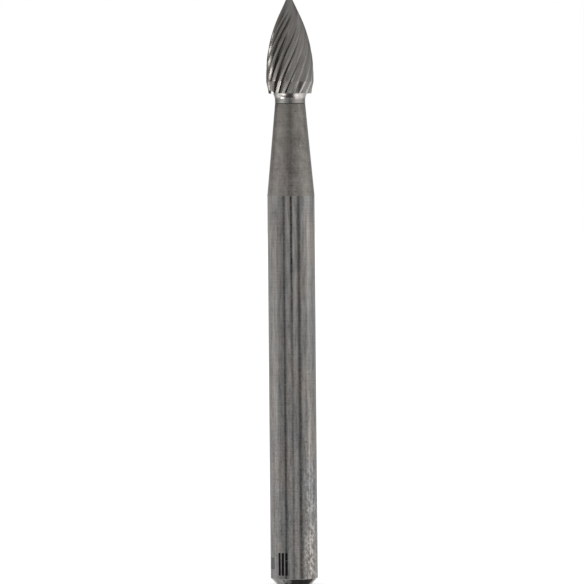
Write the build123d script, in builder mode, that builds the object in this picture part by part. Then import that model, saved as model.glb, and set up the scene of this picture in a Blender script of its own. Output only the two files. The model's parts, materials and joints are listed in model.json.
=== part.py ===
"""Carbide burr: a fluted, pointed-tree cutter head brazed to the neck of a 3 mm steel shank.

Millimetres and degrees. +Z runs along the spindle axis to the tip, and the origin is the centre
of the shank's flat end. The burr turns anticlockwise as seen from the tip, and its flutes are
right-handed, so every rake face looks towards rising angle about +Z.
"""

import os
from math import cos, radians, sin, tan

from build123d import *

# Shank
shank_diameter = 3.0
shank_length = 24.7  # from the flat end to the foot of the neck cone
shank_chamfer = 0.45
cone_length = 5.83

# Neck: one ground diameter at the top of the cone, the braze and the collar of the head
neck_diameter = 1.92

# Braze
braze_thickness = 0.05

# Collar, the smooth stub behind the teeth, which flares out to the back face
collar_length = 0.62
flare_height = 0.4
flare_width = 0.13  # on each side of the neck

# Cutter head, as ground before the flutes are cut
head_diameter = 3.0
head_length = 6.3  # from the back face to the tip flat
back_taper_width = 0.145  # how far the back edge is ground in from the full head radius
back_taper_length = 0.72
band_length = 0.48
tip_angle = 50.3  # included angle of the cone at the tip
tip_flat_diameter = 0.08

# Flutes
flute_count = 16
short_flute_count = 4  # how many of them stop early, where the teeth crowd together
first_flute_angle = 1.0
flute_depth = 0.2  # at the full head diameter, and less in proportion where the head is slimmer
helix_angle = 25.0
rake_angle = 6.0
relief_angle = 60.0  # small enough to leave a narrow land behind each cutting edge
wheel_nose_width = 0.03  # the narrow flat at the root of each flute
long_runout = 0.95  # distance from the tip flat, along the surface, where a long flute fades out
short_runout = 2.6

# The grinding wheel's path
wheel_standoff = 0.12  # height of the wheel section above the surface that it cuts
wheel_overrun = 0.4  # travel of the wheel behind the back face
wheel_lift = 0.02  # height of the wheel's nose above the surface at the end of a flute
wheel_stations = 10

# Radii and heights that follow from these sizes
neck_radius = neck_diameter / 2
head_radius = head_diameter / 2
back_radius = head_radius - back_taper_width
tip_radius = tip_flat_diameter / 2
cone_top = shank_length + cone_length
collar_foot = cone_top + braze_thickness
back_face = collar_foot + collar_length
tip = back_face + head_length

os.makedirs("parts", exist_ok=True)


# Outline of the ground blank, from the back face to the tip flat: X is the radius, Y the height.
# The crown is the one arc that is tangent to both the band and the tip cone.
tip_half_angle = tip_angle / 2
crown_and_cone_length = head_length - back_taper_length - band_length
crown_radius = (
    (crown_and_cone_length * tan(radians(tip_half_angle)) - (head_radius - tip_radius))
    * cos(radians(tip_half_angle))
    / (1 - cos(radians(tip_half_angle)))
)
with BuildLine() as outline:
    back_taper = Line((back_radius, back_face), (head_radius, back_face + back_taper_length))
    band = Line(back_taper @ 1, back_taper @ 1 + Vector(0, band_length))
    crown = JernArc(band @ 1, band % 1, crown_radius, tip_half_angle)
    tip_cone = Line(crown @ 1, (tip_radius, tip))
meridian = outline.wire()


def flute_cutter(runout):
    """The grinding wheel's path through one flute, as a solid to cut away.

    The wheel starts behind the back face, climbs the blank at the helix angle, cuts less deep
    where the blank is slimmer, and has risen out of the surface where the runout begins.
    """
    reach = meridian.length - runout
    step = (reach + wheel_overrun) / wheel_stations
    turn = 0.0
    with BuildPart() as cutter:
        for station in range(wheel_stations + 1):
            travelled = station * step - wheel_overrun
            on_blank = max(travelled, 0)
            slope = meridian % (on_blank / meridian.length)
            foot = meridian @ (on_blank / meridian.length) + slope * (travelled - on_blank)
            if station > 0:
                turn += tan(radians(helix_angle)) * step / ((foot.X + last_foot.X) / 2)
            last_foot = foot

            # Directions at the wheel: out from the axis, around it, up the blank and off it
            radial = Vector(cos(turn), sin(turn), 0)
            around = Vector(-sin(turn), cos(turn), 0)
            uphill = radial * slope.X + Vector(0, 0, slope.Y)
            outward = radial * slope.Y - Vector(0, 0, slope.X)
            travel = uphill * cos(radians(helix_angle)) + around * sin(radians(helix_angle))

            lift = (on_blank / reach) ** 6
            depth = flute_depth * foot.X / head_radius * (1 - lift) - wheel_lift * lift
            root = radial * foot.X + Vector(0, 0, foot.Y) - outward * depth
            height = depth + wheel_standoff
            with BuildSketch(Plane(origin=root, x_dir=outward, z_dir=travel)):
                with BuildLine():
                    Polyline(
                        (0, -wheel_nose_width / 2),
                        (0, wheel_nose_width / 2),
                        (height, wheel_nose_width / 2 + height * tan(radians(relief_angle))),
                        (height, -wheel_nose_width / 2 - height * tan(radians(rake_angle))),
                        close=True,
                    )
                make_face()
        loft()
    return cutter.part


# Cutter head: tungsten carbide, with the collar and the fluted head ground from one blank
long_flute = flute_cutter(long_runout)
short_flute = flute_cutter(short_runout)
flute_turns = [
    Rotation(Z=first_flute_angle + flute * 360 / flute_count) for flute in range(flute_count)
]
short_turns = flute_turns[:: flute_count // short_flute_count]
long_turns = [turn for turn in flute_turns if turn not in short_turns]
with BuildPart() as cutter_head:
    with BuildSketch(Plane.XZ):
        with BuildLine():
            add(outline.line)
            Polyline(
                (tip_radius, tip),
                (0, tip),
                (0, collar_foot),
                (neck_radius, collar_foot),
                (neck_radius, back_face - flare_height),
            )
            TangentArc(
                (neck_radius, back_face - flare_height),
                (neck_radius + flare_width, back_face),
                tangent=(0, 1),
            )
            Line((neck_radius + flare_width, back_face), (back_radius, back_face))
        make_face()
    revolve(axis=Axis.Z)
    with Locations(*short_turns):
        add(short_flute, mode=Mode.SUBTRACT)
    with Locations(*long_turns):
        add(long_flute, mode=Mode.SUBTRACT)
cutter_head.part.label = "cutter_head"
export_step(cutter_head.part, "parts/cutter_head.step")


# Braze joint: the seam of silver solder between the collar and the top of the neck cone
with BuildPart() as braze_joint:
    with BuildSketch(Plane.XY.offset(cone_top)):
        Circle(neck_radius)
    extrude(amount=braze_thickness)
braze_joint.part.label = "braze_joint"
export_step(braze_joint.part, "parts/braze_joint.step")


# Shank: hardened steel, cylindrical for the collet, with the neck cone at its upper end
with BuildPart() as shank:
    with BuildSketch(Plane.XY):
        Circle(shank_diameter / 2)
    extrude(amount=shank_length)
    chamfer(shank.edges().sort_by(Axis.Z)[0], length=shank_chamfer)
    with BuildSketch(Plane.XY.offset(shank_length)):
        Circle(shank_diameter / 2)
    with BuildSketch(Plane.XY.offset(cone_top)):
        Circle(neck_radius)
    loft()
shank.part.label = "shank"
export_step(shank.part, "parts/shank.step")
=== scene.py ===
"""Looks of the carbide burr: turned and fluted meshes, ground metals, studio and camera.

Lengths are in millimetres here, and MM turns them into Blender's metres. Z runs up the spindle
axis from the shank's flat end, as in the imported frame, and every piece rides on the one body.
"""

import json
from math import cos, pi, radians, sin, tan

import bpy
import numpy as np
from mathutils import Matrix, Vector


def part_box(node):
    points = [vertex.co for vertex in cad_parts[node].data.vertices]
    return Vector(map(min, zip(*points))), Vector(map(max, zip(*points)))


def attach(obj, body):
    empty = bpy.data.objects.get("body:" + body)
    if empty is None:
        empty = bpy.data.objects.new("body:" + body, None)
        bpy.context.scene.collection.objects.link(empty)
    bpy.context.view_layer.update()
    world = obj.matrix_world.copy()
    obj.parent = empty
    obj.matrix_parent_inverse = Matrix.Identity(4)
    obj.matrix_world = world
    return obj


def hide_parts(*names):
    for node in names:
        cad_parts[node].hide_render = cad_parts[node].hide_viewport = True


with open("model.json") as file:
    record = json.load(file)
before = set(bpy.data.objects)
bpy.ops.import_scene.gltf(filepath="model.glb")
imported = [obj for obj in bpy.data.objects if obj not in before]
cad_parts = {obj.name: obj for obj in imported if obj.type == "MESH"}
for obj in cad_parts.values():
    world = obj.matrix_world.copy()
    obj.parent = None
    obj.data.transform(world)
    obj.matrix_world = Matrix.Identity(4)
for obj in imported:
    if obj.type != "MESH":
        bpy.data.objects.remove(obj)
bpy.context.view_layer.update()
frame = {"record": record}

MM = 0.001

# ---------------------------------------------------------------------------------------------
# Sizes, read from the frame where it states them
# ---------------------------------------------------------------------------------------------

COLLET_GRIP = next(m for m in frame["record"]["mounts"] if m["name"] == "shank")
SHANK_RADIUS = COLLET_GRIP["dims"]["r_mm"]
CHAMFER = COLLET_GRIP["pos_m"][2] / MM - COLLET_GRIP["dims"]["length_mm"] / 2
CONE_FOOT = COLLET_GRIP["pos_m"][2] / MM + COLLET_GRIP["dims"]["length_mm"] / 2
CONE_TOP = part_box("braze_joint")[0].z / MM
COLLAR_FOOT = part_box("braze_joint")[1].z / MM
NECK_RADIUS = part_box("braze_joint")[1].x / MM
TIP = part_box("cutter_head")[1].z / MM

# Collar and cutter head
COLLAR_LENGTH = 0.62
FLARE_HEIGHT = 0.4
FLARE_WIDTH = 0.13
BACK_FACE = COLLAR_FOOT + COLLAR_LENGTH
HEAD_RADIUS = 1.5
BACK_TAPER_WIDTH = 0.145
BACK_TAPER_LENGTH = 0.72
BAND_LENGTH = 0.48
TIP_HALF_ANGLE = radians(50.3 / 2)
TIP_RADIUS = 0.04

# Flutes
FLUTE_COUNT = 16
SHORT_FLUTE_COUNT = 4
FIRST_FLUTE_ANGLE = radians(1)
FLUTE_DEPTH = 0.2
HELIX_ANGLE = radians(25)
RAKE_ANGLE = radians(6)
RELIEF_ANGLE = radians(60)
NOSE_HALF_WIDTH = 0.015
WHEEL_LIFT = 0.02
WHEEL_OVERRUN = 0.4
LONG_RUNOUT = 0.95
SHORT_RUNOUT = 2.6

# Worn edges, and how far the solder has worn back below the steel and the carbide
EDGE_RADIUS = 0.012
SOLDER_SINK = 0.012

# Fineness of the meshes
TURNED_SEGMENTS = 256
CORNER_STEPS = 4
LONGEST_RUN = 0.4
CROWN_POINTS = 60
TURN_POINTS = 4000
FLARE_POINTS = 14
BACK_FACE_RINGS = (0.03, 0.5, 0.96)
HEAD_ROWS = 290
BOARD_SEGMENTS = 180
CARD_POINTS = 17
SHARP_ANGLE = radians(50)

# Columns of the head's mesh across one flute: down the rake face, over the nose, up the relief
# face, in shares of each, and beyond them the land
FLUTE_COLUMNS = 16
RAKE_STEPS = (0, 0.06, 0.5, 0.94)
NOSE_STEPS = (-0.7, 0.7)
RELIEF_STEPS = (0.03, 0.15, 0.3, 0.45, 0.6, 0.75, 0.9, 0.985)
LAND_EDGE = 0.004

# Limits on them, in millimetres and in shares of the pitch from one flute to the next
HIGHEST_WHEEL = 0.05
WIDEST_RAKE_SHARE = 0.3
LEAST_LAND_SHARE = 0.02
LEAST_COLUMN = 0.0012
LEAST_COLUMN_SHARE = 1 / 60

# Where a flute ends, its columns go over to even ones, and at the back face its rows follow the
# plane of the face for a short way
RUNOUT_START = 0.97
RUNOUT_LENGTH = 0.25
SETTLE_LENGTH = 0.3


# ---------------------------------------------------------------------------------------------
# Meshes
# ---------------------------------------------------------------------------------------------


def new_object(name, vertices, faces):
    """A smooth mesh object from vertices in millimetres."""
    mesh = bpy.data.meshes.new(name)
    mesh.from_pydata((np.asarray(vertices) * MM).tolist(), [], faces)
    mesh.validate()
    mesh.update()
    mesh.shade_smooth()
    piece = bpy.data.objects.new(name, mesh)
    bpy.context.scene.collection.objects.link(piece)
    return piece


def ring_faces(lower, upper, count):
    """Quads between two closed rings of vertices, which start at these indices."""
    return [
        (lower + i, lower + (i + 1) % count, upper + (i + 1) % count, upper + i)
        for i in range(count)
    ]


def lathe(name, profile):
    """A turned solid. The profile's (radius, height) points run from the axis, out and back."""
    segments = TURNED_SEGMENTS
    angles = np.arange(segments) * 2 * pi / segments
    vertices = [(0, 0, profile[0][1])]
    for radius, height in profile[1:-1]:
        ring = np.stack(
            [radius * np.cos(angles), radius * np.sin(angles), np.full(segments, height)], 1
        )
        vertices.extend(ring.tolist())
    vertices.append((0, 0, profile[-1][1]))
    rings = len(profile) - 2
    last = len(vertices) - 1
    faces = [(0, 1 + (i + 1) % segments, 1 + i) for i in range(segments)]
    for ring in range(rings - 1):
        faces += ring_faces(1 + ring * segments, 1 + (ring + 1) * segments, segments)
    top = 1 + (rings - 1) * segments
    faces += [(top + i, top + (i + 1) % segments, last) for i in range(segments)]
    return new_object(name, vertices, faces)


def rounded(corners, radii):
    """The outline through the corners, with each inner corner rounded to its radius."""
    points = [Vector(corners[0])]
    for before, corner, after, radius in zip(corners, corners[1:], corners[2:], radii):
        corner = Vector(corner)
        back = (Vector(before) - corner).normalized()
        ahead = (Vector(after) - corner).normalized()
        half_turn = (pi - back.angle(ahead)) / 2
        reach = radius * tan(half_turn)
        centre = corner + (back + ahead).normalized() * radius / cos(half_turn)
        start = corner + back * reach - centre
        end = corner + ahead * reach - centre
        for step in range(CORNER_STEPS + 1):
            spoke = start.lerp(end, step / CORNER_STEPS)
            points.append(centre + spoke.normalized() * radius)
    points.append(Vector(corners[-1]))
    return [tuple(point) for point in points]


def subdivided(profile):
    """The same outline with no run between two points longer than LONGEST_RUN."""
    points = [profile[0]]
    for start, end in zip(profile, profile[1:]):
        length = (Vector(end) - Vector(start)).length
        pieces = max(1, int(np.ceil(length / LONGEST_RUN)))
        for piece in range(1, pieces + 1):
            points.append(tuple(Vector(start).lerp(Vector(end), piece / pieces)))
    return points


def make_shank():
    """The steel shank: flat end, chamfer, cylinder for the collet, and neck cone."""
    corners = [
        (0, 0),
        (SHANK_RADIUS - CHAMFER, 0),
        (SHANK_RADIUS, CHAMFER),
        (SHANK_RADIUS, CONE_FOOT),
        (NECK_RADIUS, CONE_TOP),
        (0, CONE_TOP),
    ]
    profile = rounded(corners, [EDGE_RADIUS, EDGE_RADIUS, EDGE_RADIUS, EDGE_RADIUS / 2])
    return lathe("shank_ground", subdivided(profile))


def make_braze():
    """The solder seam, a hair below the surfaces beside it."""
    middle = (CONE_TOP + COLLAR_FOOT) / 2
    profile = [
        (0, CONE_TOP),
        (NECK_RADIUS, CONE_TOP),
        (NECK_RADIUS - SOLDER_SINK, (CONE_TOP + middle) / 2),
        (NECK_RADIUS - SOLDER_SINK, (COLLAR_FOOT + middle) / 2),
        (NECK_RADIUS, COLLAR_FOOT),
        (0, COLLAR_FOOT),
    ]
    return lathe("braze_seam", profile)


class Meridian:
    """The ground blank's outline by its length s from the back face: radius, height and slope."""

    def __init__(self):
        crown_and_cone = TIP - BACK_FACE - BACK_TAPER_LENGTH - BAND_LENGTH
        crown_radius = (
            (crown_and_cone * tan(TIP_HALF_ANGLE) - (HEAD_RADIUS - TIP_RADIUS))
            * cos(TIP_HALF_ANGLE)
            / (1 - cos(TIP_HALF_ANGLE))
        )
        band_top = BACK_FACE + BACK_TAPER_LENGTH + BAND_LENGTH
        angles = np.linspace(0, TIP_HALF_ANGLE, CROWN_POINTS)
        points = np.vstack(
            [
                [HEAD_RADIUS - BACK_TAPER_WIDTH, BACK_FACE],
                [HEAD_RADIUS, BACK_FACE + BACK_TAPER_LENGTH],
                np.stack(
                    [
                        HEAD_RADIUS - crown_radius * (1 - np.cos(angles)),
                        band_top + crown_radius * np.sin(angles),
                    ],
                    1,
                ),
                [TIP_RADIUS, TIP],
            ]
        )
        steps = np.diff(points, axis=0)
        lengths = np.hypot(*steps.T)
        self.s = np.concatenate([[0], np.cumsum(lengths)])
        self.points = points
        self.length = self.s[-1]
        self.back_slope = steps[0] / lengths[0]
        self.mid = (self.s[1:] + self.s[:-1]) / 2
        self.angles = np.arctan2(steps[:, 1], steps[:, 0])
        fine = np.linspace(-WHEEL_OVERRUN, self.length, TURN_POINTS)
        radius = self.place(fine)[0]
        growth = tan(HELIX_ANGLE) / radius
        turn = np.concatenate([[0], np.cumsum((growth[1:] + growth[:-1]) / 2 * np.diff(fine))])
        self.fine, self.turn_table = fine, turn

    def place(self, s):
        """Radius and height at s, which may lie behind the back face."""
        behind = np.minimum(s, 0)
        radius = np.interp(s, self.s, self.points[:, 0]) + behind * self.back_slope[0]
        height = np.interp(s, self.s, self.points[:, 1]) + behind * self.back_slope[1]
        return radius, height

    def outward(self, s):
        """The unit normal of the outline at s, as its parts along the radius and the height."""
        angle = np.interp(s, self.mid, self.angles)
        return np.sin(angle), -np.cos(angle)

    def turn(self, s):
        """How far a flute has wound round the head by s."""
        return np.interp(s, self.fine, self.turn_table)


def ease(value, low, high):
    """A smooth step from 0 at low to 1 at high."""
    t = np.clip((value - low) / (high - low), 0, 1)
    return t * t * (3 - 2 * t)


def make_head():
    """The carbide head: collar, back face, and the blank with its flutes cut in.

    Its columns follow the flutes, so that each cutting edge is one line of the mesh. Each flute
    has FLUTE_COLUMNS of them: rake face, root, relief face and land.
    """
    meridian = Meridian()
    row_count, columns = HEAD_ROWS, FLUTE_COLUMNS
    rows = meridian.length * np.linspace(0, 1, row_count)

    stops_early = np.arange(FLUTE_COUNT) % (FLUTE_COUNT // SHORT_FLUTE_COUNT) == 0
    reach = meridian.length - np.where(stops_early, SHORT_RUNOUT, LONG_RUNOUT)
    s = rows[:, None]
    radius, _ = meridian.place(s)
    lift = np.clip(s / reach[None, :], 0, None) ** 6
    depth = FLUTE_DEPTH * radius / HEAD_RADIUS * (1 - lift) - WHEEL_LIFT * lift
    depth = np.maximum(depth, -HIGHEST_WHEEL)
    pitch = radius * 2 * pi / FLUTE_COUNT * cos(HELIX_ANGLE)
    gone = ease(s, reach[None, :] * RUNOUT_START, reach[None, :] + RUNOUT_LENGTH)

    cut = np.maximum(depth, 0)
    start = -(NOSE_HALF_WIDTH * (1 - gone) + cut * tan(RAKE_ANGLE))
    start = np.maximum(start, -WIDEST_RAKE_SHARE * pitch)
    next_start = pitch + np.roll(start, -1, axis=1)
    top = NOSE_HALF_WIDTH * (1 - gone) + cut * tan(RELIEF_ANGLE)
    top = np.minimum(top, next_start - LEAST_LAND_SHARE * pitch)

    # Where each column lies across its flute, from the cutting edge to the next one
    wall = cut * tan(RAKE_ANGLE)
    places = [start + step * wall for step in RAKE_STEPS]
    places += [step * NOSE_HALF_WIDTH * np.ones_like(start) for step in NOSE_STEPS]
    places += [NOSE_HALF_WIDTH + (top - NOSE_HALF_WIDTH) * step for step in RELIEF_STEPS]
    places += [top + LAND_EDGE, (top + next_start) / 2]
    across = np.stack(places, 2)
    even = start[:, :, None] + (next_start - start)[:, :, None] * np.arange(columns) / columns
    least = np.minimum(LEAST_COLUMN, pitch * LEAST_COLUMN_SHARE)
    for column in range(1, columns):
        across[:, :, column] = np.maximum(across[:, :, column], across[:, :, column - 1] + least)
    across = across * (1 - gone[:, :, None]) + even * gone[:, :, None]

    # How deep the surface lies there: the deepest of this flute and the ones on either side
    def depth_at(offset, own):
        relief = own - np.maximum(offset - NOSE_HALF_WIDTH, 0) / tan(RELIEF_ANGLE)
        rake = own - np.maximum(-offset - NOSE_HALF_WIDTH, 0) / tan(RAKE_ANGLE)
        return np.minimum(relief, rake)

    deep = np.zeros_like(across)
    for neighbour in (-1, 0, 1):
        own = np.roll(depth, -neighbour, axis=1)[:, :, None]
        deep = np.maximum(deep, depth_at(across - neighbour * pitch[:, :, None], own))

    # The flutes run out through the back face, so the first rows start on its plane
    tilt = -meridian.back_slope[0]
    settle = np.clip(1 - s / SETTLE_LENGTH, 0, 1)[:, :, None]
    s_here = s[:, :, None] + tilt * deep * settle / meridian.back_slope[1]
    radius_here, height_here = meridian.place(s_here)
    normal_r, normal_z = meridian.outward(s_here)
    flute_angle = FIRST_FLUTE_ANGLE + np.arange(FLUTE_COUNT)[None, :, None] * 2 * pi / FLUTE_COUNT
    angle = (
        flute_angle
        + meridian.turn(s_here)
        + across / (radius[:, :, None] * cos(HELIX_ANGLE))
    )
    distance = radius_here - deep * normal_r
    height = height_here - deep * normal_z
    height[0] = BACK_FACE
    count = FLUTE_COUNT * columns
    angle = angle.reshape(row_count, count)
    distance = distance.reshape(row_count, count)
    height = height.reshape(row_count, count)

    # Rings of the collar, from the braze up its flare, and of the back face out to the teeth
    flare_radius = (FLARE_HEIGHT**2 + FLARE_WIDTH**2) / (2 * FLARE_WIDTH)
    flare_foot = BACK_FACE - FLARE_HEIGHT
    flare = np.linspace(0, FLARE_HEIGHT, FLARE_POINTS)[1:]
    collar = [(NECK_RADIUS, COLLAR_FOOT), (NECK_RADIUS, (COLLAR_FOOT + flare_foot) / 2)]
    collar += [(NECK_RADIUS, flare_foot)]
    collar += [
        (NECK_RADIUS + flare_radius - (flare_radius**2 - up**2) ** 0.5, flare_foot + up)
        for up in flare
    ]
    rings_r = [np.full(count, radius) for radius, _ in collar]
    rings_z = [np.full(count, height) for _, height in collar]
    flare_top = collar[-1][0]
    for share in BACK_FACE_RINGS:
        rings_r.append(flare_top + (distance[0] - flare_top) * share)
        rings_z.append(np.full(count, BACK_FACE))
    ring_angle = [angle[0]] * len(rings_r)
    all_r = np.vstack([rings_r, distance])
    all_z = np.vstack([rings_z, height])
    all_a = np.vstack([ring_angle, angle])

    vertices = np.stack([all_r * np.cos(all_a), all_r * np.sin(all_a), all_z], 2).reshape(-1, 3)
    total = len(all_r)
    faces = []
    for ring in range(total - 1):
        faces += ring_faces(ring * count, (ring + 1) * count, count)
    vertices = np.vstack([vertices, [[0, 0, COLLAR_FOOT], [0, 0, TIP]]])
    bottom, tip = total * count, total * count + 1
    last = (total - 1) * count
    faces += [(bottom, (i + 1) % count, i) for i in range(count)]
    faces += [(last + i, last + (i + 1) % count, tip) for i in range(count)]
    piece = new_object("fluted_head", vertices, faces)
    piece.data.set_sharp_from_angle(angle=SHARP_ANGLE)

    # What the material reads: the kind of face, from its column, which fades in until the flute has
    # half its full depth, each flute's own tone, and the way along the flutes. The root is where
    # the material paints shade into the bottom of each flute
    flute_rows = np.clip(cut / FLUTE_DEPTH * 2, 0, 1)[:-1]
    tones = np.random.default_rng(5).uniform(0, 1, FLUTE_COUNT)
    shape = (total - 1, FLUTE_COUNT, columns)
    on_rake, root_painted_shade, on_land, tone = (np.zeros(shape) for _ in range(4))
    on_rake[1 - row_count :, :, 0:3] = flute_rows[:, :, None] * [1, 1, 0.35]
    # The root's share, where the material paints shade into the flute
    root_painted_shade[1 - row_count :, :, 2:6] = flute_rows[:, :, None] * [0.3, 1, 1, 0.6]
    on_land[1 - row_count :, :, 14:16] = flute_rows[:, :, None]
    tone[:] = tones[None, :, None]
    kinds = (("rake", on_rake), ("root", root_painted_shade), ("land", on_land), ("tone", tone))
    for name, values in kinds:
        layer = piece.data.attributes.new(name, "FLOAT", "FACE")
        layer.data.foreach_set("value", np.concatenate([values.ravel(), np.zeros(2 * count)]))
    unwound = flute_angle + across / (radius[:, :, None] * cos(HELIX_ANGLE))
    unwound = np.vstack([ring_angle, unwound.reshape(row_count, count)])
    along = np.concatenate([np.array(rings_z)[:, 0] - BACK_FACE, rows])
    along = np.repeat(along[:, None], count, 1)
    flow = np.stack([HEAD_RADIUS * np.cos(unwound), HEAD_RADIUS * np.sin(unwound), along], 2)
    flow = np.vstack([flow.reshape(-1, 3), [[0, 0, -COLLAR_LENGTH], [0, 0, meridian.length]]])
    layer = piece.data.attributes.new("flow", "FLOAT_VECTOR", "POINT")
    layer.data.foreach_set("vector", flow.ravel())
    return piece


# ---------------------------------------------------------------------------------------------
# Materials
# ---------------------------------------------------------------------------------------------


class Nodes:
    """A node tree that is written from its inputs to its outputs."""

    def __init__(self, tree):
        self.tree = tree

    def add(self, kind, inputs=None, **settings):
        """A new node with its settings, and its inputs as values or as other nodes' outputs."""
        node = self.tree.nodes.new(kind)
        for name, value in settings.items():
            setattr(node, name, value)
        for name, value in (inputs or {}).items():
            if isinstance(value, bpy.types.NodeSocket):
                self.tree.links.new(value, node.inputs[name])
            else:
                node.inputs[name].default_value = value
        return node

    def math(self, operation, *values):
        """The result of one sum on values or outputs."""
        inputs = dict(enumerate(values))
        return self.add("ShaderNodeMath", inputs, operation=operation).outputs[0]

    def noise(self, place, frequency, detail):
        """Smooth noise from 0 to 1. The frequency along each axis is in waves per unit of place."""
        vector = self.add("ShaderNodeVectorMath", {0: place, 1: frequency}, operation="MULTIPLY")
        inputs = {"Vector": vector.outputs[0], "Scale": 1, "Detail": detail}
        return self.add("ShaderNodeTexNoise", inputs).outputs["Fac"]

    def total(self, first, *others):
        """The sum of several values."""
        for other in others:
            first = self.math("ADD", first, other)
        return first

    def product(self, first, *others):
        """The product of several values."""
        for other in others:
            first = self.math("MULTIPLY", first, other)
        return first

    def mix(self, share, color_a, color_b):
        """The colour that lies this share of the way from one to the other."""
        # A mix node of colours has its factor at socket 0, and its colours at sockets 6 and 7
        colors = [(*color, 1) if type(color) is tuple else color for color in (color_a, color_b)]
        inputs = {0: share, 6: colors[0], 7: colors[1]}
        return self.add("ShaderNodeMix", inputs, data_type="RGBA").outputs[2]

    def shade(self, color, value):
        """The colour times a value."""
        node = self.add("ShaderNodeVectorMath", {0: color, "Scale": value}, operation="SCALE")
        return node.outputs[0]

    def link(self, shader, **sockets):
        """Joins outputs to the shader's sockets of these names."""
        for name, output in sockets.items():
            self.tree.links.new(output, shader.inputs[name.replace("_", " ")])

    def between(self, value, low, high, at_low=0.0, at_high=1.0):
        """The value taken from one range to another, and kept inside it."""
        inputs = {"Value": value, 1: low, 2: high, 3: at_low, 4: at_high}
        return self.add("ShaderNodeMapRange", inputs).outputs[0]

    def swing(self, noise, size):
        """The noise's usual range taken to one from -size to size."""
        return self.between(noise, 0.3, 0.7, -size, size)

    def ramp(self, factor, stops):
        """A grey for each factor, straight between its (factor, grey) stops."""
        node = self.add("ShaderNodeValToRGB", {"Fac": factor})
        elements = node.color_ramp.elements
        elements[0].position, elements[-1].position = stops[0][0], stops[-1][0]
        for position, _ in stops[1:-1]:
            elements.new(position)
        for element, (_, grey) in zip(elements, stops):
            element.color = (grey, grey, grey, 1)
        return node.outputs["Color"]


def metal(name, color, roughness):
    """A new metal, its nodes and its shader, which shows these mean values until it is linked."""
    material = bpy.data.materials.new(name)
    material.use_nodes = True
    shader = material.node_tree.nodes["Principled BSDF"]
    shader.inputs["Base Color"].default_value = (*color, 1)
    shader.inputs["Metallic"].default_value = 1
    shader.inputs["Roughness"].default_value = roughness
    return material, Nodes(material.node_tree), shader


def paint(piece, material):
    """The piece's only material."""
    piece.data.materials.clear()
    piece.data.materials.append(material)


# Patches on the shank. Azimuths are in degrees from the camera's side, positive to the right, and
# heights in millimetres. Each pair runs from where a patch is faintest to where it is full.
MOTTLED_HEIGHTS = (9.5, 4.5)
MOTTLED_LEFT_EDGE = (14, 38)
MOTTLED_RIGHT_EDGE = (150, 110)
COARSE_HEIGHTS = (20, 6)
# The painted dark reflection on the chamfer: its left and right edges, and how thin it is at them
PAINTED_REFLECTION_LEFT_EDGE = (-34, -24)
PAINTED_REFLECTION_RIGHT_EDGE = (64, 52)
THIN_PAINTED_REFLECTION = 0.12

# The worn mark: the azimuths of its bars, and their width, foot and top
LARGE_BARS = ((-38, -28.5, -19), 6.6, 0.66, 2.1)
SMALL_BARS = ((-75, -67, -59), 3.8, 1.05, 1.78)


def bars(nodes, azimuth, height, centres, width, low, high):
    """1 inside upright bars at these azimuths, in degrees, between two heights, and 0 outside."""
    inside = None
    for centre in centres:
        away = nodes.math("ABSOLUTE", nodes.math("SUBTRACT", azimuth, radians(centre)))
        bar = nodes.math("LESS_THAN", away, radians(width / 2))
        inside = bar if inside is None else nodes.math("MAXIMUM", inside, bar)
    above = nodes.math("GREATER_THAN", height, low * MM)
    below = nodes.math("LESS_THAN", height, high * MM)
    return nodes.product(inside, above, below)


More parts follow.
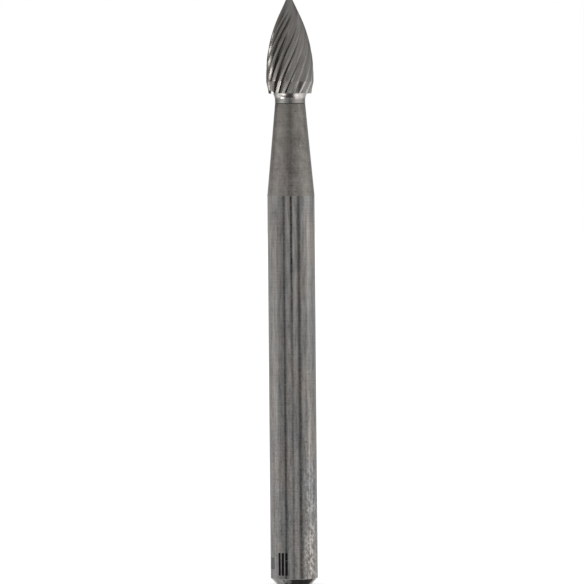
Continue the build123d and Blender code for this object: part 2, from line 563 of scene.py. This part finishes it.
def ground_steel():
    """The shank: ground, scratched and half bright on the cylinder, fine matte on the cone.

    Its lower end is mottled on one side and has a worn mark on the other, and a painted dark
    reflection on the chamfer.
    """
    material, nodes, shader = metal("ground_steel", (0.3, 0.294, 0.287), 0.2)
    place = nodes.add("ShaderNodeTexCoord").outputs["Object"]
    axes = nodes.add("ShaderNodeSeparateXYZ", {0: place}).outputs
    height = axes["Z"]
    azimuth = nodes.math("ARCTAN2", axes["X"], nodes.math("MULTIPLY", axes["Y"], -1))

    # Regions
    cone = nodes.math("GREATER_THAN", height, CONE_FOOT * MM)
    cylinder = nodes.math("SUBTRACT", 1, cone)
    chamfer = nodes.math("LESS_THAN", height, (CHAMFER - 0.03) * MM)
    low = nodes.between(height, *(edge * MM for edge in MOTTLED_HEIGHTS))
    starts = nodes.product(nodes.between(azimuth, *map(radians, MOTTLED_LEFT_EDGE)), low)
    ends = nodes.between(azimuth, *map(radians, MOTTLED_RIGHT_EDGE))
    patchy = nodes.noise(place, (1500, 1500, 900), 2)
    mottled = nodes.product(starts, ends, nodes.between(patchy, 0.36, 0.52))

    # Grinding lines run round the axis, with drawn lines and scratches along it, clouds on the
    # cone, and a grain that gets coarser towards the flat end
    rings = nodes.noise(place, (260, 260, 24000), 3)
    wide_rings = nodes.noise(place, (200, 200, 5200), 2)
    drawn = nodes.noise(place, (3200, 3200, 110), 3)
    scratches = nodes.noise(place, (6200, 6200, 700), 3)
    clouds = nodes.noise(place, (2300, 2300, 2000), 3)
    grain = nodes.noise(place, (7600, 7600, 6000), 3)
    coarse = nodes.between(height, *(edge * MM for edge in COARSE_HEIGHTS), 0.4, 0.9)
    coarse = nodes.total(coarse, nodes.product(cone, 0.5))
    blotches = nodes.noise(place, (700, 700, 260), 3)

    # Colour: a warm and a cool grey, darker in the lines, with pits and bright nicks
    tint = nodes.between(blotches, 0.35, 0.65)
    bright = nodes.mix(tint, (0.29, 0.295, 0.296), (0.321, 0.296, 0.275))
    matte = nodes.mix(tint, (0.312, 0.296, 0.268), (0.33, 0.303, 0.287))
    color = nodes.mix(cone, bright, matte)
    tone = nodes.total(
        nodes.swing(rings, 0.09),
        nodes.swing(drawn, 0.13),
        nodes.product(nodes.swing(scratches, 0.26), cylinder),
        nodes.product(nodes.swing(clouds, 0.16), cone),
        nodes.product(nodes.swing(grain, 0.2), coarse),
        nodes.swing(blotches, 0.08),
        1,
    )
    color = nodes.shade(color, tone)
    speckle = nodes.noise(place, (5600, 5600, 4000), 2)
    mottle = nodes.between(speckle, 0.38, 0.62, 0.68, 1.78)
    mottle = nodes.total(nodes.product(nodes.math("SUBTRACT", mottle, 1), mottled), 1)
    color = nodes.shade(color, mottle)
    pits = nodes.between(nodes.noise(place, (5200, 5200, 6400), 1), 0.235, 0.2)
    nicks = nodes.between(nodes.noise(place, (4100, 4100, 8200), 1), 0.79, 0.82)
    color = nodes.mix(nodes.product(pits, 0.8), color, (0.04, 0.036, 0.032))
    color = nodes.mix(nodes.product(nicks, 0.8), color, (0.75, 0.74, 0.71))

    # The worn mark: plain bars, rubbed away in a few specks
    mark = nodes.math(
        "MAXIMUM",
        bars(nodes, azimuth, height, *LARGE_BARS),
        bars(nodes, azimuth, height, *SMALL_BARS),
    )
    rubbed = nodes.between(nodes.noise(place, (5200, 5200, 3600), 3), 0.26, 0.34)
    mark = nodes.product(mark, rubbed, 0.96)
    color = nodes.mix(mark, color, (0.008, 0.008, 0.008))

    # A painted dark reflection on the chamfer, thin at both sides
    painted_chamfer_reflection = nodes.noise(place, (1300, 1300, 1300), 3)
    past_left = nodes.between(azimuth, *map(radians, PAINTED_REFLECTION_LEFT_EDGE), THIN_PAINTED_REFLECTION, 1)
    before_right = nodes.between(azimuth, *map(radians, PAINTED_REFLECTION_RIGHT_EDGE), THIN_PAINTED_REFLECTION, 1)
    painted_chamfer_reflection = nodes.product(nodes.between(painted_chamfer_reflection, 0.26, 0.44), past_left, before_right, chamfer)
    color = nodes.mix(nodes.product(painted_chamfer_reflection, 0.93), color, (0.012, 0.01, 0.008))

    # Finish
    roughness = nodes.total(
        nodes.product(cone, 0.24),
        nodes.between(grain, 0.3, 0.7, -0.04, 0.05),
        nodes.product(mottled, 0.1),
        nodes.product(mark, 0.35),
        nodes.product(painted_chamfer_reflection, 0.3),
        0.19,
    )
    relief = nodes.total(
        nodes.product(rings, nodes.total(nodes.product(cone, 0.5), 0.5)),
        nodes.product(wide_rings, 0.7),
        nodes.product(drawn, cylinder, 1.2),
        nodes.product(speckle, mottled, 3.5),
        nodes.product(scratches, cylinder, 0.8),
        nodes.product(grain, 0.6),
        nodes.product(pits, -2),
        nodes.product(mark, -1.5),
    )
    bump = nodes.add("ShaderNodeBump", {"Strength": 1.0, "Distance": 0.0011 * MM, "Height": relief})
    tangent = nodes.add("ShaderNodeTangent", direction_type="RADIAL", axis="Z")
    nodes.link(
        shader,
        Base_Color=color,
        Roughness=roughness,
        Normal=bump.outputs[0],
        Tangent=tangent.outputs[0],
    )
    shader.inputs["Anisotropic"].default_value = 0.6
    shader.inputs["Anisotropic Rotation"].default_value = 0.25
    return material


def ground_carbide():
    """The head: carbide ground by a diamond wheel, brightest on the rake faces and worn edges, with
    painted shade in the roots of the flutes.
    """
    material, nodes, shader = metal("ground_carbide", (0.32, 0.315, 0.3), 0.22)
    place = nodes.add("ShaderNodeTexCoord").outputs["Object"]
    height = nodes.add("ShaderNodeSeparateXYZ", {0: place}).outputs["Z"]
    rake = nodes.add("ShaderNodeAttribute", attribute_name="rake").outputs["Fac"]
    root = nodes.add("ShaderNodeAttribute", attribute_name="root").outputs["Fac"]
    land = nodes.add("ShaderNodeAttribute", attribute_name="land").outputs["Fac"]
    flute_tone = nodes.add("ShaderNodeAttribute", attribute_name="tone").outputs["Fac"]
    flow = nodes.add("ShaderNodeAttribute", attribute_name="flow").outputs["Vector"]
    collar = nodes.math("LESS_THAN", height, (BACK_FACE - 0.004) * MM)
    head = nodes.math("SUBTRACT", 1, collar)

    # Lines along the flutes, rings round the collar, and the carbide's own fine grain
    lines = nodes.noise(flow, (26, 26, 1.1), 3)
    wide_lines = nodes.noise(flow, (6, 6, 0.9), 2)
    rings = nodes.noise(flow, (0.8, 0.8, 30), 3)
    grain = nodes.noise(place, (16000, 16000, 16000), 2)
    blotches = nodes.noise(place, (1300, 1300, 1000), 2)

    tint = nodes.between(blotches, 0.38, 0.62)
    color = nodes.mix(tint, (0.315, 0.312, 0.292), (0.335, 0.308, 0.298))
    tone = nodes.total(
        nodes.product(nodes.swing(lines, 0.16), head),
        nodes.product(nodes.swing(wide_lines, 0.16), head),
        nodes.product(nodes.swing(rings, 0.1), collar),
        nodes.swing(grain, 0.08),
        nodes.product(nodes.between(flute_tone, 0, 1, -0.14, 0.14), head),
        1,
    )
    color = nodes.shade(color, tone)
    color = nodes.mix(nodes.product(rake, 0.85), color, (0.62, 0.61, 0.58))
    # Painted shade: the roots of the flutes are darkened
    color = nodes.mix(nodes.product(root, 0.75), color, (0.05, 0.046, 0.04))
    color = nodes.shade(color, nodes.total(nodes.product(collar, -0.09), 1))
    worn = nodes.product(land, nodes.between(wide_lines, 0.35, 0.65), 0.22)
    color = nodes.mix(worn, color, (0.6, 0.585, 0.56))
    roughness = nodes.total(
        nodes.swing(lines, 0.04),
        nodes.product(rake, -0.05),
        nodes.product(land, 0.35),
        nodes.product(collar, 0.06),
        0.2,
    )
    relief = nodes.total(
        nodes.product(lines, head, 1.0),
        nodes.product(wide_lines, head, 1.5),
        nodes.product(rings, collar),
        nodes.product(grain, 0.35),
    )
    bump = nodes.add("ShaderNodeBump", {"Strength": 1.0, "Distance": 0.0012 * MM, "Height": relief})
    nodes.link(shader, Base_Color=color, Roughness=roughness, Normal=bump.outputs[0])
    return material


def dull_solder():
    """The seam: solder dulled by the heat of brazing."""
    material, nodes, shader = metal("dull_solder", (0.14, 0.13, 0.12), 0.5)
    place = nodes.add("ShaderNodeTexCoord").outputs["Object"]
    grain = nodes.noise(place, (9000, 9000, 9000), 3)
    color = nodes.mix(grain, (0.08, 0.074, 0.066), (0.17, 0.155, 0.135))
    roughness = nodes.between(grain, 0.3, 0.7, 0.42, 0.6)
    bump = nodes.add("ShaderNodeBump", {"Strength": 1.0, "Distance": 0.002 * MM, "Height": grain})
    nodes.link(shader, Base_Color=color, Roughness=roughness, Normal=bump.outputs[0])
    return material


# ---------------------------------------------------------------------------------------------
# The burr
# ---------------------------------------------------------------------------------------------

shank = make_shank()
braze = make_braze()
head = make_head()
for piece, node in ((shank, "shank"), (braze, "braze_joint"), (head, "cutter_head")):
    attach(piece, "root")
    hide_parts(node)

paint(shank, ground_steel())
paint(braze, dull_solder())
paint(head, ground_carbide())


# ---------------------------------------------------------------------------------------------
# Studio
# ---------------------------------------------------------------------------------------------

PIXELS = 584  # the photograph's side
PIXELS_PER_MM = 15.75
CAMERA_DISTANCE = 346
CAMERA_HEIGHT = 24.9
FRAME_CENTRE_HEIGHT = 18.6
CAMERA_SIDE = 0.015
CAMERA_ROLL = radians(0.51)

# Reflector boards round the burr, which only its metal sees. Azimuths are in degrees from the
# camera's side, positive to the right, and each stop is (azimuth, brightness).
BOARD_RADIUS = 25
BOARD_FOOT = 0.03
FLOOR_BOARD_RADIUS = 2
SHANK_BOARD_TOP = 28.5
NECK_BOARD_TOP = 32
ROOF_EDGE = (25, 40)
ROOF_MIDDLE = (18, 57)
ROOF_TOP = (4, 85)
WALL_BOARDS = [
    (-180, 0.18),
    (-168, 0.85),
    (-152, 0.5),
    (-132, 0.6),
    (-118, 0.64),
    (-96, 0.82),
    (-84, 0.80),
    (-70, 0.54),
    (-52, 0.48),
    (-42, 0.42),
    (-38, 0.08),
    (-33, 0.18),
    (-28, 0.49),
    (-18, 0.67),
    (-6, 0.54),
    (-3, 0.3),
    (3, 0.3),
    (6, 0.57),
    (23, 0.66),
    (30, 0.2),
    (38, 0.13),
    (45, 0.54),
    (50, 0.70),
    (62, 0.61),
    (74, 0.73),
    (84, 1.0),
    (92, 0.95),
    (102, 0.73),
    (132, 0.6),
    (152, 0.5),
    (166, 0.8),
    (180, 0.18),
]

# The upper part of the wall has a black line in its middle, between two bright ones
UPPER_WALL_FOOT = 17.8
MIDDLE_LINE = [(-9, 0.76), (-4.5, 0.0), (2.5, 0.0), (7, 0.78)]
LEFT_OF_LINE = [stop for stop in WALL_BOARDS if stop[0] < MIDDLE_LINE[0][0]]
RIGHT_OF_LINE = [stop for stop in WALL_BOARDS if stop[0] > MIDDLE_LINE[-1][0]]
UPPER_WALL_BOARDS = LEFT_OF_LINE + MIDDLE_LINE + RIGHT_OF_LINE

NECK_BOARDS = [
    (-180, 0.4),
    (-118, 0.4),
    (-100, 0.7),
    (-80, 1.1),
    (-50, 1.1),
    (-30, 0.7),
    (-12, 0.45),
    (-4, 0.27),
    (5, 0.27),
    (20, 0.65),
    (40, 1.1),
    (84, 1.1),
    (110, 0.6),
    (180, 0.4),
]
HEAD_BOARDS = [
    (-180, 0.4),
    (-165, 0.4),
    (-150, 0.1),
    (-108, 0.08),
    (-98, 0.55),
    (-84, 0.6),
    (-66, 0.56),
    (-46, 0.56),
    (-22, 0.5),
    (-5, 0.14),
    (6, 0.14),
    (24, 0.52),
    (60, 0.6),
    (90, 0.6),
    (110, 0.5),
    (140, 0.2),
    (165, 0.4),
    (180, 0.4),
]
LOW_ROOF_BOARDS = [
    (-180, 0.26),
    (-120, 0.32),
    (-96, 0.3),
    (-62, 0.35),
    (-44, 0.46),
    (6, 0.48),
    (60, 0.52),
    (90, 0.46),
    (115, 0.3),
    (180, 0.3),
]
HIGH_ROOF_BOARDS = [
    (-180, 0.5),
    (-100, 0.46),
    (-20, 0.46),
    (60, 0.48),
    (180, 0.5),
]

# Lamps low on both sides, which light only the head: (azimuth, width, foot, top, brightness)
LOW_LAMPS = [
    (-100, 14, 4, 26, 1.3),
    (-60, 16, 2, 8, 4),
    (-60, 12, 8, 15, 4.5),
    (-60, 11, 24, 27.5, 7.5),
    (54, 14, 2, 20, 2.5),
    (54, 14, 20, 29, 1.7),
    (96, 14, 2, 29, 1.2),
    (135, 14, 2, 28, 0.5),
]
LOW_LAMP_RADIUS = 20

# The dark card under the front of the head
CARD_HEIGHT = 25.5
CARD_RADII = (3.0, 18)
CARD_AZIMUTHS = (-30, 26)
CARD_COLOR = (0.08, 0.08, 0.08, 1)

# The floor: half its side in metres, its paper, and the glow that lifts it to white
FLOOR_HALF_SIDE = 3.0
PAPER_COLOR = (0.8, 0.8, 0.8, 1)
FLOOR_GLOW = 0.35


def make_camera():
    """A long lens level with the foot of the cone, aimed at the frame's centre, turned a hair."""
    data = bpy.data.cameras.new("camera")
    camera = bpy.data.objects.new("camera", data)
    bpy.context.scene.collection.objects.link(camera)
    place = Vector((CAMERA_SIDE, -CAMERA_DISTANCE, CAMERA_HEIGHT))
    target = Vector((CAMERA_SIDE, 0, FRAME_CENTRE_HEIGHT))
    forward = (target - place).normalized()
    right = forward.cross(Vector((0, 0, 1))).normalized()
    up = right.cross(forward)
    rolled_up = up * cos(CAMERA_ROLL) + right * sin(CAMERA_ROLL)
    rolled_right = right * cos(CAMERA_ROLL) - up * sin(CAMERA_ROLL)
    turn = Matrix((rolled_right, rolled_up, -forward)).transposed()
    camera.matrix_world = Matrix.Translation(place * MM) @ turn.to_4x4()
    data.sensor_width = 36
    half_view = PIXELS / PIXELS_PER_MM / 2
    data.lens = data.sensor_width / 2 / (half_view / (target - place).length)
    data.clip_start = 0.01
    data.clip_end = 20
    bpy.context.scene.camera = camera


def make_floor():
    """A white floor under the burr. It shows white to the camera, apart from the shadow."""
    half = FLOOR_HALF_SIDE
    vertices = [(-half, -half, 0), (half, -half, 0), (half, half, 0), (-half, half, 0)]
    mesh = bpy.data.meshes.new("floor")
    mesh.from_pydata(vertices, [], [(0, 1, 2, 3)])
    floor = bpy.data.objects.new("floor", mesh)
    bpy.context.scene.collection.objects.link(floor)
    nodes, material = bare_material("white_floor")
    path = nodes.add("ShaderNodeLightPath").outputs
    seen = nodes.math("MAXIMUM", path["Is Camera Ray"], path["Is Glossy Ray"])
    seen = nodes.math("MAXIMUM", seen, path["Is Transmission Ray"])
    paper = nodes.add("ShaderNodeBsdfDiffuse", {"Color": PAPER_COLOR}).outputs[0]
    glow_strength = nodes.math("MULTIPLY", seen, FLOOR_GLOW)
    glow = nodes.add("ShaderNodeEmission", {"Strength": glow_strength}).outputs[0]
    both = nodes.add("ShaderNodeAddShader", {0: paper, 1: glow}).outputs[0]
    nodes.add("ShaderNodeOutputMaterial", {"Surface": both})
    mesh.materials.append(material)


def bare_material(name):
    """A new material with no nodes yet."""
    material = bpy.data.materials.new(name)
    material.use_nodes = True
    material.node_tree.nodes.clear()
    material.cycles.emission_sampling = "NONE"
    return Nodes(material.node_tree), material


def hide_from_all_but_metal(board):
    """Leaves a reflector in reflections alone, hidden from the camera, diffuse light, transmission
    and shadows.
    """
    board.visible_camera = False
    board.visible_diffuse = False
    board.visible_transmission = False
    board.visible_shadow = False


def make_boards(name, foot, top, boards):
    """A ring of boards between two (radius, height) edges. Its brightness follows the azimuth."""
    segments = BOARD_SEGMENTS
    angles = np.arange(segments) * 2 * pi / segments
    rings = [
        np.stack(
            [radius * np.cos(angles), radius * np.sin(angles), np.full(segments, height)], 1
        )
        for radius, height in (foot, top)
    ]
    piece = new_object(name, np.vstack(rings), ring_faces(0, segments, segments))
    hide_from_all_but_metal(piece)
    nodes, material = bare_material(name)
    place = nodes.add("ShaderNodeTexCoord").outputs["Object"]
    axes = nodes.add("ShaderNodeSeparateXYZ", {0: place}).outputs
    # Zero looks at the camera, along -Y, and the angle grows to the right, along +X
    azimuth = nodes.math("ARCTAN2", axes["X"], nodes.math("MULTIPLY", axes["Y"], -1))
    stops = [((degrees + 180) / 360, brightness) for degrees, brightness in boards]
    grey = nodes.ramp(nodes.between(azimuth, -pi, pi), stops)
    glow = nodes.add("ShaderNodeEmission", {"Color": grey}).outputs[0]
    nodes.add("ShaderNodeOutputMaterial", {"Surface": glow})
    piece.data.materials.append(material)


def make_card():
    """A dark card under the front of the head, which darkens the middle of the flare above it.

    It is seen from above only, so the steel below reflects the boards behind it.
    """
    azimuths = [radians(azimuth) for azimuth in np.linspace(*CARD_AZIMUTHS, CARD_POINTS)]
    arcs = [
        [(radius * sin(azimuth), -radius * cos(azimuth), CARD_HEIGHT) for azimuth in azimuths]
        for radius in CARD_RADII
    ]
    count = len(azimuths)
    faces = [(i, count + i, count + i + 1, i + 1) for i in range(count - 1)]
    card = new_object("dark_card", arcs[0] + arcs[1], faces)
    hide_from_all_but_metal(card)
    nodes, material = bare_material("dark_card")
    glow = nodes.add("ShaderNodeEmission", {"Color": CARD_COLOR}).outputs[0]
    gap = nodes.add("ShaderNodeBsdfTransparent").outputs[0]
    below = nodes.add("ShaderNodeNewGeometry").outputs["Backfacing"]
    both = nodes.add("ShaderNodeMixShader", {0: below, 1: glow, 2: gap}).outputs[0]
    nodes.add("ShaderNodeOutputMaterial", {"Surface": both})
    card.data.materials.append(material)


def make_low_lamps():
    """Upright lamps on both sides, below the head, for its rake faces and its flare."""
    lit = bpy.data.collections.new("lit_from_below")
    lit.objects.link(head)
    for number, (azimuth, across, foot, top, brightness) in enumerate(LOW_LAMPS):
        width, height = across * MM, (top - foot) * MM
        data = bpy.data.lights.new(f"low_lamp_{number}", "AREA")
        data.shape = "RECTANGLE"
        data.size, data.size_y = width, height
        data.energy = brightness * pi * width * height
        lamp = bpy.data.objects.new(data.name, data)
        bpy.context.scene.collection.objects.link(lamp)
        side, front = sin(radians(azimuth)), -cos(radians(azimuth))
        place = Vector((side * LOW_LAMP_RADIUS, front * LOW_LAMP_RADIUS, (foot + top) / 2))
        facing = Vector((side, front, 0)).to_track_quat("Z", "Y")
        lamp.matrix_world = Matrix.Translation(place * MM) @ facing.to_matrix().to_4x4()
        lamp.visible_camera = False
        lamp.light_linking.receiver_collection = lit


def make_world():
    """White all round, for the camera, the metal and the floor's light."""
    world = bpy.data.worlds.new("studio")
    bpy.context.scene.world = world
    world.use_nodes = True
    background = world.node_tree.nodes["Background"]
    background.inputs["Color"].default_value = (1, 1, 1, 1)
    background.inputs["Strength"].default_value = 1


make_camera()
make_floor()
make_boards(
    "floor_boards", (FLOOR_BOARD_RADIUS, BOARD_FOOT), (BOARD_RADIUS, BOARD_FOOT), WALL_BOARDS
)
make_boards(
    "wall_boards", (BOARD_RADIUS, BOARD_FOOT), (BOARD_RADIUS, UPPER_WALL_FOOT), WALL_BOARDS
)
make_boards(
    "upper_wall_boards",
    (BOARD_RADIUS, UPPER_WALL_FOOT),
    (BOARD_RADIUS, SHANK_BOARD_TOP),
    UPPER_WALL_BOARDS,
)
make_boards(
    "neck_boards", (BOARD_RADIUS, SHANK_BOARD_TOP), (BOARD_RADIUS, NECK_BOARD_TOP), NECK_BOARDS
)
make_boards("head_boards", (BOARD_RADIUS, NECK_BOARD_TOP), ROOF_EDGE, HEAD_BOARDS)
make_boards("low_roof_boards", ROOF_EDGE, ROOF_MIDDLE, LOW_ROOF_BOARDS)
make_boards("high_roof_boards", ROOF_MIDDLE, ROOF_TOP, HIGH_ROOF_BOARDS)
make_card()
make_low_lamps()
make_world()
bpy.context.scene.view_settings.view_transform = "Standard"
